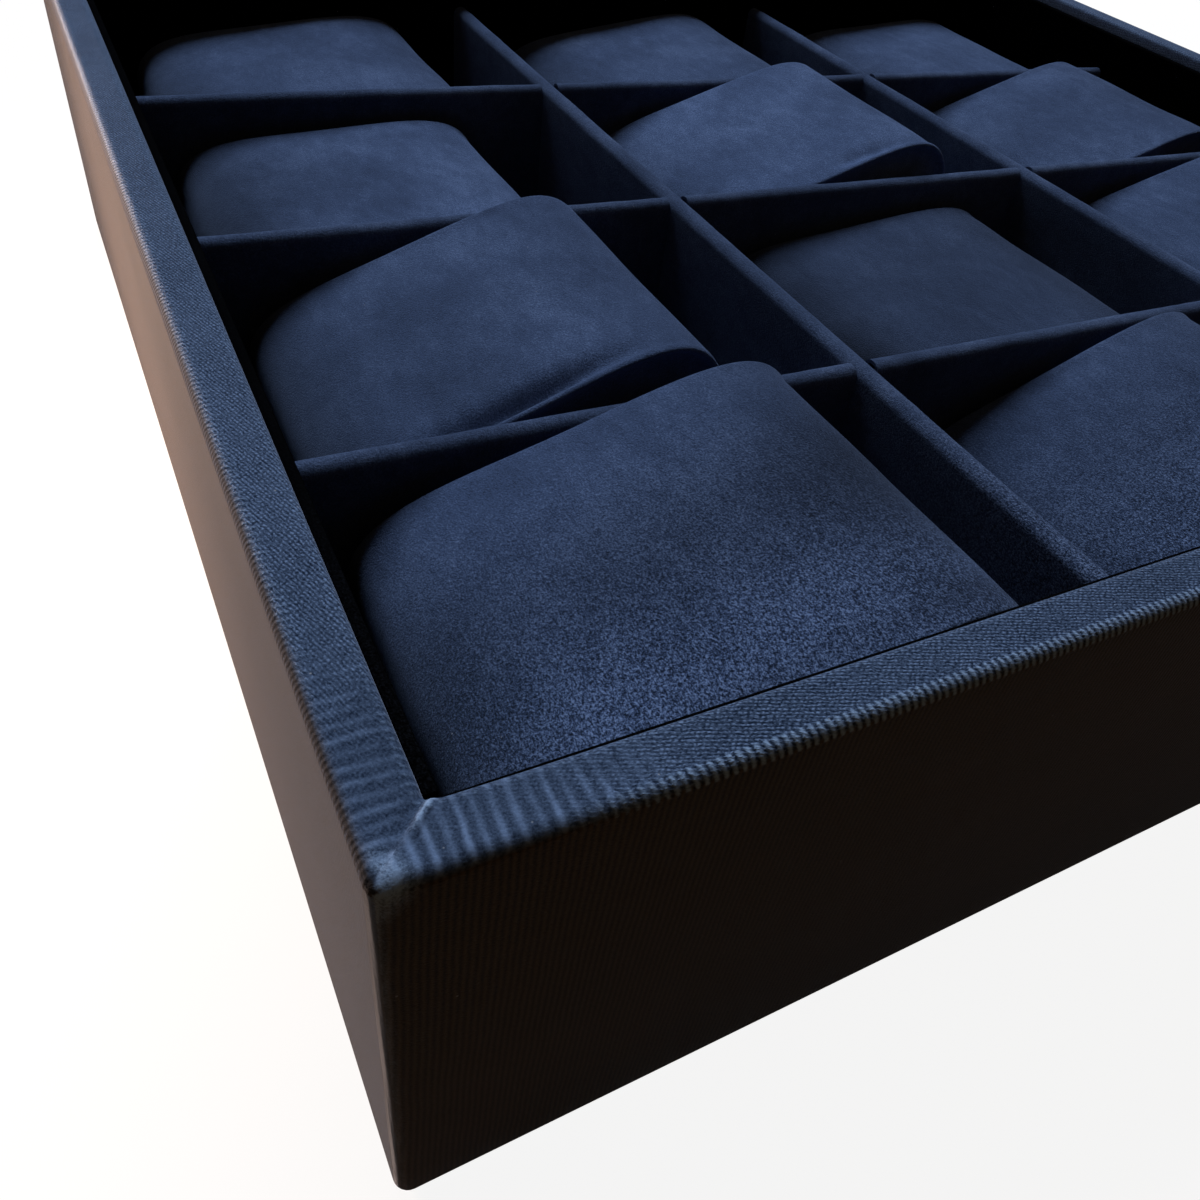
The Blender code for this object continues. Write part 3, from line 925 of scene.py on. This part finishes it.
def cut_slots(cover, place, along_x):
    """Cuts a cover where it crosses others: row covers from above, column covers from below."""
    half_level = (seat_level + divider_top) / 2
    width = divider_thickness + 2 * fit_gap - slot_snugness
    span = divider_thickness * 2
    low = half_level - fit_gap / 2 if along_x else seat_level - slot_overrun
    high = divider_top + slot_overrun if along_x else half_level + fit_gap / 2
    for slot in column_places if along_x else row_places:
        centre = (slot, place, (low + high) / 2) if along_x else (place, slot, (low + high) / 2)
        size = (width, span, high - low) if along_x else (span, width, high - low)
        bpy.ops.mesh.primitive_cube_add(size=1.0, location=centre, scale=size)
        cutter = bpy.context.object
        cut = cover.modifiers.new("Slot", "BOOLEAN")
        cut.operation = "DIFFERENCE"
        cut.solver = "EXACT"
        cut.object = cutter
        apply_modifier(cover, cut)
        bpy.data.objects.remove(cutter, do_unlink=True)


def build_cover(divider, body_run, place, along_x, seed, material):
    """A suede strip folded over a divider, slightly uneven, and slotted."""
    section = fold_points()
    swells = ((cover_soft_patch, cover_soft_swell, 0), (cover_fine_patch, cover_fine_swell, 7))
    steps = round(body_run / cover_step)
    bpy.ops.mesh.primitive_grid_add(
        x_subdivisions=steps, y_subdivisions=len(section) - 1, size=1.0, location=(0, 0, 0))
    cover = bpy.context.object
    cover.name = divider + "_suede"
    for vertex in cover.data.vertices:
        row, step = divmod(vertex.index, steps + 1)
        along = body_run * (step / steps - 0.5)
        across, level = section[row]
        swell = 0.0
        for patch, height, shift in swells:
            spot = (along / patch[0], level / patch[1], seed + shift + across / patch[2])
            swell += noise.noise(Vector(spot)) * height
        across += math.copysign(swell, across) if abs(across) > cover_fold_top else 0.0
        level += swell * 0.9 if level > divider_top - divider_thickness else 0.0
        if along_x:
            vertex.co = (along, place + across, level)
        else:
            vertex.co = (place + across, along, level)
    cover.data.materials.append(material)
    merge_and_close(cover, 0.001 * MM)
    cover.data.update()
    axis = 1 if along_x else 0
    face = cover.data.polygons[0]
    if face.normal[axis] * (face.center[axis] - place) < 0:
        cover.data.flip_normals()
    shell = cover.modifiers.new("Suede thickness", "SOLIDIFY")
    shell.thickness = divider_cover_thickness
    shell.offset = -1.0
    apply_modifier(cover, shell)
    cut_slots(cover, place, along_x)
    make_active(cover)
    bpy.ops.object.shade_smooth_by_angle(angle=cover_sharp_angle)
    node = divider + "_cover"
    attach(cover, "tray")
    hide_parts(node)


def build_covers(material):
    """The covers of both column dividers and all three row dividers."""
    low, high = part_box("row_divider_1_cover")
    row_run = high.x - low.x
    low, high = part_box("column_divider_1_cover")
    column_run = high.y - low.y
    for number, place in enumerate(column_places, start=1):
        divider = "column_divider_%d" % number
        build_cover(divider, column_run, place, False, 10.0 * number, material)
    for number, place in enumerate(row_places, start=1):
        divider = "row_divider_%d" % number
        build_cover(divider, row_run, place, True, 31.0 * number, material)


# Pillows

def pillow_rings():
    """Rings of a pillow, from end to end: (place along, share of the section, inset)."""
    half = pillow_length / 2
    end = [(half - behind, share, inset) for behind, share, inset in end_rings]
    start = half - body_start
    body = [(start - 2 * start * step / body_steps, 1.0, body_inset)
            for step in range(body_steps + 1)]
    other = [(-along, share, inset) for along, share, inset in reversed(end)]
    return end + body + other


def section_point(angle, half_width, half_height, share, inset):
    """A point of the pillow's rounded-box section."""
    power = 2.0 / pillow_roundness
    x = math.copysign(abs(math.cos(angle)) ** power, math.cos(angle)) * half_width
    z = math.copysign(abs(math.sin(angle)) ** power, math.sin(angle)) * half_height
    length = math.hypot(x, z)
    scale = share * (1 - inset / length)
    return x * scale, z * scale


def even_angles(half_width, half_height):
    """Angles that space the section's points evenly along its outline."""
    points = []
    for number in range(outline_points + 1):
        angle = 2 * math.pi * number / outline_points
        points.append(section_point(angle, half_width, half_height, 1.0, 0.0))
    run = [0.0]
    for before, after in zip(points, points[1:]):
        run.append(run[-1] + math.dist(before, after))
    angles = []
    spot = 0
    for step in range(pillow_points_around):
        target = run[-1] * step / pillow_points_around
        while run[spot + 1] < target:
            spot += 1
        part = (target - run[spot]) / (run[spot + 1] - run[spot])
        angles.append(2 * math.pi * (spot + part) / outline_points)
    return angles


def pillow_half_height(tilt, height, half_width):
    """Half the section's height that makes a tilted pillow stand as high as it does."""
    conjugate = pillow_roundness / (pillow_roundness - 1.0)
    half = (height + pillow_press) / 2
    reach = half_width * abs(math.sin(tilt))
    return (half ** conjugate - reach ** conjugate) ** (1.0 / conjugate) / math.cos(tilt)


def simulate_stuffing(pillow, held):
    """Blows the pillow up a little as cloth, with its sewn ends held, and keeps the result."""
    start = [vertex.co.copy() for vertex in pillow.data.vertices]
    group = pillow.vertex_groups.new(name="sewn")
    for index, weight in held.items():
        group.add([index], weight, "REPLACE")
    make_active(pillow)
    cloth = pillow.modifiers.new("Stuffing", "CLOTH")
    cloth.settings.use_pressure = True
    cloth.settings.uniform_pressure_force = cloth_pressure
    cloth.settings.mass = 0.001
    cloth.settings.tension_stiffness = 15
    cloth.settings.compression_stiffness = 15
    cloth.settings.shear_stiffness = 5
    cloth.settings.bending_stiffness = 0.4
    cloth.settings.vertex_group_mass = "sewn"
    cloth.settings.effector_weights.gravity = 0.0
    cloth.collision_settings.use_collision = False
    scene = bpy.context.scene
    for number in range(1, cloth_frames + 1):
        scene.frame_set(number)
    depsgraph = bpy.context.evaluated_depsgraph_get()
    blown = pillow.evaluated_get(depsgraph).to_mesh()
    moves = [after.co - before for after, before in zip(blown.vertices, start)]
    pillow.evaluated_get(depsgraph).to_mesh_clear()
    pillow.modifiers.remove(cloth)
    scene.frame_set(1)
    for vertex, before, move in zip(pillow.data.vertices, start, moves):
        length = move.length
        if length > 0:
            vertex.co = before + move * (swell_cap * math.tanh(length / swell_cap) / length)


def shape_pillow(pillow, half_width, half_height, seed):
    """Gives a cylinder the pillow's form. Returns how firmly the stuffing leaves each point."""
    rings = pillow_rings()
    wide, long = body_lump_size
    steps = len(rings) - 1
    mesh = bmesh.new()
    mesh.from_mesh(pillow.data)
    lengthwise = [edge for edge in mesh.edges
                  if abs(edge.verts[0].co.z - edge.verts[1].co.z) > 1.0]
    bmesh.ops.subdivide_edges(mesh, edges=lengthwise, cuts=steps - 1)
    angles = even_angles(half_width, half_height)
    turn = 2 * math.pi / pillow_points_around
    held = {}
    mesh.verts.index_update()
    for vertex in mesh.verts:
        along, share, inset = rings[round((1 - vertex.co.z) / 2 * steps)]
        if math.hypot(vertex.co.x, vertex.co.y) < 0.5:
            panel = math.copysign(pillow_length / 2 - panel_depth, along)
            vertex.co = (0.0, panel, 0.0)
            held[vertex.index] = 0.0
            continue
        number = round(math.atan2(vertex.co.y, vertex.co.x) / turn) % pillow_points_around
        x, z = section_point(angles[number], half_width, half_height, share, inset)
        lump = noise.noise(Vector((x / wide, z / wide, seed + along / long)))
        swell = 1 + body_lumps * lump * (1.0 if inset > 0.4 * MM else end_lump_share)
        vertex.co = (x * swell, along, z * swell)
        near_end = (pillow_length / 2 - abs(along)) / MM
        if near_end < sewn_band:
            held[vertex.index] = 1.0
        else:
            held[vertex.index] = max(0.0, sewn_hold - near_end / sewn_hold_reach)
    mesh.normal_update()
    bmesh.ops.recalc_face_normals(mesh, faces=mesh.faces)
    mesh.to_mesh(pillow.data)
    mesh.free()
    return held


def pucker_pillow(pillow, seed, pucker):
    """Draws the suede in behind the sewn ends, more in some places than in others."""
    half = pillow_length / 2
    wide, long = wave_size
    for vertex in pillow.data.vertices:
        x, y, z = vertex.co
        radius = math.hypot(x, z)
        near_end = (half - abs(y)) / MM
        if radius < uncreased_radius or near_end < uncreased_band:
            continue
        angle = math.atan2(z, x)
        side = 1.0 if y > 0 else -1.0
        spot = Vector((math.cos(angle) * 2.6, math.sin(angle) * 2.6, seed + side))
        behind_seam = bell(near_end, *seam_crease)
        crease = behind_seam * max(0.0, noise.noise(spot)) * seam_crease_depth
        if pucker and y < 0 < z:
            middle, reach, depth = pucker
            crease += behind_seam * depth / MM * math.exp(-((x - middle) / reach) ** 4)
        fading = math.exp(-max(0.0, near_end - fold_fade_start) / fold_fade_reach)
        folds = fading * noise.noise(spot * 4.5) * fold_depth
        spot = Vector((x / wide, y / long, seed + z / wide))
        waves = noise.noise(spot) * wave_depth
        move = (-crease + folds + waves) * MM
        vertex.co = (x * (1 + move / radius), y, z * (1 + move / radius))


def add_nap_and_light_tone(pillow, row, column, half_width):
    """Stores a tone over a pillow: its nap's lightness with painted light, painted shade on its
    flanks and under the front rim, and a darker spot.
    """
    tone, slope, ends = nap_and_light_tones.get((row, column), plain_nap_and_light_tone)
    spot = darker_spots.get((row, column))
    layer = pillow.data.attributes.new("nap_tone", "FLOAT", "POINT")
    for vertex in pillow.data.vertices:
        x, y, z = vertex.co
        aside = x / half_width
        value = tone + slope * aside + ends * (1 - bell(2 * y / pillow_length, 0.0, end_tone_reach))
        # Painted shade on the flanks, more at the front left
        left = smooth(share_of(-aside, side_shade_start, side_shade_blend))
        right = smooth(share_of(aside, side_shade_start, side_shade_blend))
        front = share_of(-y, front_shade_start, front_shade_blend)
        value -= (left_shade + front_left_shade * front) * left + right_shade * right
        # Painted shadow of the front rim along the first row's pillows
        if row == 1 and y < 0:
            value -= rim_shade * bell(y, *rim_shade_bell)
        # A darker spot on the top; on row 2 column 1 it is painted shade behind the front seam
        if spot and z > 0:
            spot_x, spot_y, reach, depth = spot
            blotch = noise.noise(Vector((x / darker_spot_blotch, y / darker_spot_blotch, 4.0)))
            spot_darkening = depth * (0.6 + 1.1 * blotch)
            value -= spot_darkening * bell(math.hypot(x - spot_x, y - spot_y), 0.0, reach)
        layer.data[vertex.index].value = value


def lay_pillow(pillow, row, column):
    """Tilts a pillow, lays it in its compartment and presses it flat where it rests."""
    tilt_degrees, height, aside, _ = pillow_lies[(row, column)]
    lean = Matrix.Rotation(-math.radians(tilt_degrees), 4, "Y")
    start_x = -outer_length / 2 + wall_thickness
    start_x += (column - 1) * (compartment_length + divider_thickness)
    start_y = -outer_width / 2 + wall_thickness
    start_y += (row - 1) * (compartment_width + divider_thickness)
    low_y = start_y + (end_lining_inset if row == 1 else 0.0)
    high_y = start_y + compartment_width - (end_lining_inset if row == 4 else 0.0)
    centre = Vector((
        start_x + compartment_length / 2 + aside,
        (low_y + high_y) / 2 - (first_row_ahead if row == 1 else 0.0),
        seat_level + (height - pillow_press) / 2,
    ))
    for vertex in pillow.data.vertices:
        place = lean @ vertex.co + centre
        under = seat_level + pillow_press_blend - place.z
        if under > 0:
            pressed = pillow_press_blend * math.exp(-under / pillow_press_blend)
            place.z = seat_level + pressed
        vertex.co = place
    pillow.matrix_world = Matrix.Identity(4)


def build_pillow(row, column, material):
    """A stuffed suede roll with sewn ends, laid in its compartment at its own tilt."""
    tilt_degrees, height, _, width = pillow_lies[(row, column)]
    seed = 13.0 * row + 5.0 * column
    half_width = width / 2
    half_height = pillow_half_height(math.radians(tilt_degrees), height, half_width)
    bpy.ops.mesh.primitive_cylinder_add(
        vertices=pillow_points_around, radius=1.0, depth=2.0, end_fill_type="TRIFAN")
    pillow = bpy.context.object
    pillow.name = "pillow_suede_row_%d_column_%d" % (row, column)
    held = shape_pillow(pillow, half_width, half_height, seed)
    simulate_stuffing(pillow, held)
    pucker_pillow(pillow, seed, front_puckers.get((row, column)))
    add_nap_and_light_tone(pillow, row, column, half_width)
    lay_pillow(pillow, row, column)
    pillow.data.materials.append(material)
    soften = pillow.modifiers.new("Smooth suede", "SUBSURF")
    soften.levels = 1
    soften.render_levels = 1
    apply_modifier(pillow, soften)
    bpy.ops.object.shade_smooth()
    node = "pillow_row_%d_column_%d" % (row, column)
    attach(pillow, node + "_body")
    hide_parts(node)


# Stage and light

def background_rays(tree):
    """1 for the rays that show the background: camera, glossy and transmission."""
    path = tree.nodes.new("ShaderNodeLightPath")
    seen = Shade(tree, path.outputs["Is Camera Ray"])
    for name in ("Is Glossy Ray", "Is Transmission Ray"):
        seen = seen.maths("MAXIMUM", seen, Shade(tree, path.outputs[name]))
    return seen


def add_lamp(name, place, size, power, colour):
    """A flat lamp that faces the tray's middle and that the camera doesn't see."""
    data = bpy.data.lights.new(name, "AREA")
    data.shape = "RECTANGLE"
    data.size, data.size_y = size
    data.energy = power
    data.color = colour
    lamp = bpy.data.objects.new(name, data)
    bpy.context.scene.collection.objects.link(lamp)
    lamp.location = place
    lamp.rotation_euler = Vector(place).to_track_quat("Z", "Y").to_euler()
    lamp.visible_camera = False


def build_stage():
    """A pale floor that shows almost white, takes a shadow and throws a little warm light back."""
    bpy.ops.mesh.primitive_plane_add(size=floor_size, location=(0, 0, -floor_drop))
    floor = bpy.context.object
    floor.name = "floor"
    material = bpy.data.materials.new("pale_floor")
    material.use_nodes = True
    tree = material.node_tree
    tree.nodes.clear()
    seen = background_rays(tree)
    bounce = seen.node("ShaderNodeBsdfDiffuse", {}, {"Color": floor_bounce})
    painted = seen.node("ShaderNodeBsdfDiffuse", {}, {"Color": floor_colour})
    glow = seen.node("ShaderNodeEmission", {}, {"Color": white, "Strength": 1.0})
    pale = seen.node("ShaderNodeMixShader", {}, {0: floor_glow_share, 1: painted, 2: glow})
    shown = seen.node("ShaderNodeMixShader", {}, {0: seen, 1: bounce, 2: pale})
    out = tree.nodes.new("ShaderNodeOutputMaterial")
    tree.links.new(shown.socket, out.inputs["Surface"])
    floor.data.materials.append(material)


def build_light():
    """A large soft key light from behind, a low warm one along the left side and a little sky."""
    world = bpy.data.worlds.new("Studio")
    world.use_nodes = True
    bpy.context.scene.world = world
    tree = world.node_tree
    tree.nodes.clear()
    seen = background_rays(tree)
    sky = {"Color": sky_colour, "Strength": sky_strength}
    soft = seen.node("ShaderNodeBackground", {}, sky)
    plain = seen.node("ShaderNodeBackground", {}, {"Color": white, "Strength": 1.0})
    shown = seen.node("ShaderNodeMixShader", {}, {0: seen, 1: soft, 2: plain})
    out = tree.nodes.new("ShaderNodeOutputWorld")
    tree.links.new(shown.socket, out.inputs["Surface"])
    add_lamp("key", key_lamp_place, key_lamp_size, key_lamp_power, key_lamp_colour)
    add_lamp("side", side_lamp_place, side_lamp_size, side_lamp_power, side_lamp_colour)


def dress_nodes(lining):
    """Gives the tray's own solids that stay their finishes."""
    board = make_board("fibre_board", board_colours, board_grain)
    card = make_board("grey_card", card_colours, card_grain)
    felt = make_felt()
    for name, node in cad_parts.items():
        if name.startswith("wall_board") or name == "base_board":
            finish = board
        elif name.endswith("_core"):
            finish = card
        elif name.startswith("wall_lining") or name == "floor_lining":
            finish = lining
        elif name == "underside_felt":
            finish = felt
        else:
            continue
        for slot in node.material_slots:
            slot.material = finish


def main():
    add_camera()
    build_stage()
    build_light()
    suede = make_suede("navy_suede", pillow_colours, pillow_sheen)
    # Painted light on the lit tops of the divider covers and of the linings
    top_light_from = divider_top - divider_top_light_drop
    divider_suede = make_suede(
        "divider_suede", shaded_divider_colours, divider_sheen, top_light_from, divider_top_light)
    top_light_from = lining_top - lining_top_light_drop
    lining = make_suede("lining_suede", shaded_lining_colours, 0.0, top_light_from, lining_top_light)
    dress_nodes(lining)
    build_wrap(make_twill())
    build_covers(divider_suede)
    for row, column in pillow_lies:
        build_pillow(row, column, suede)
    bpy.context.scene.view_settings.view_transform = "Standard"


main()
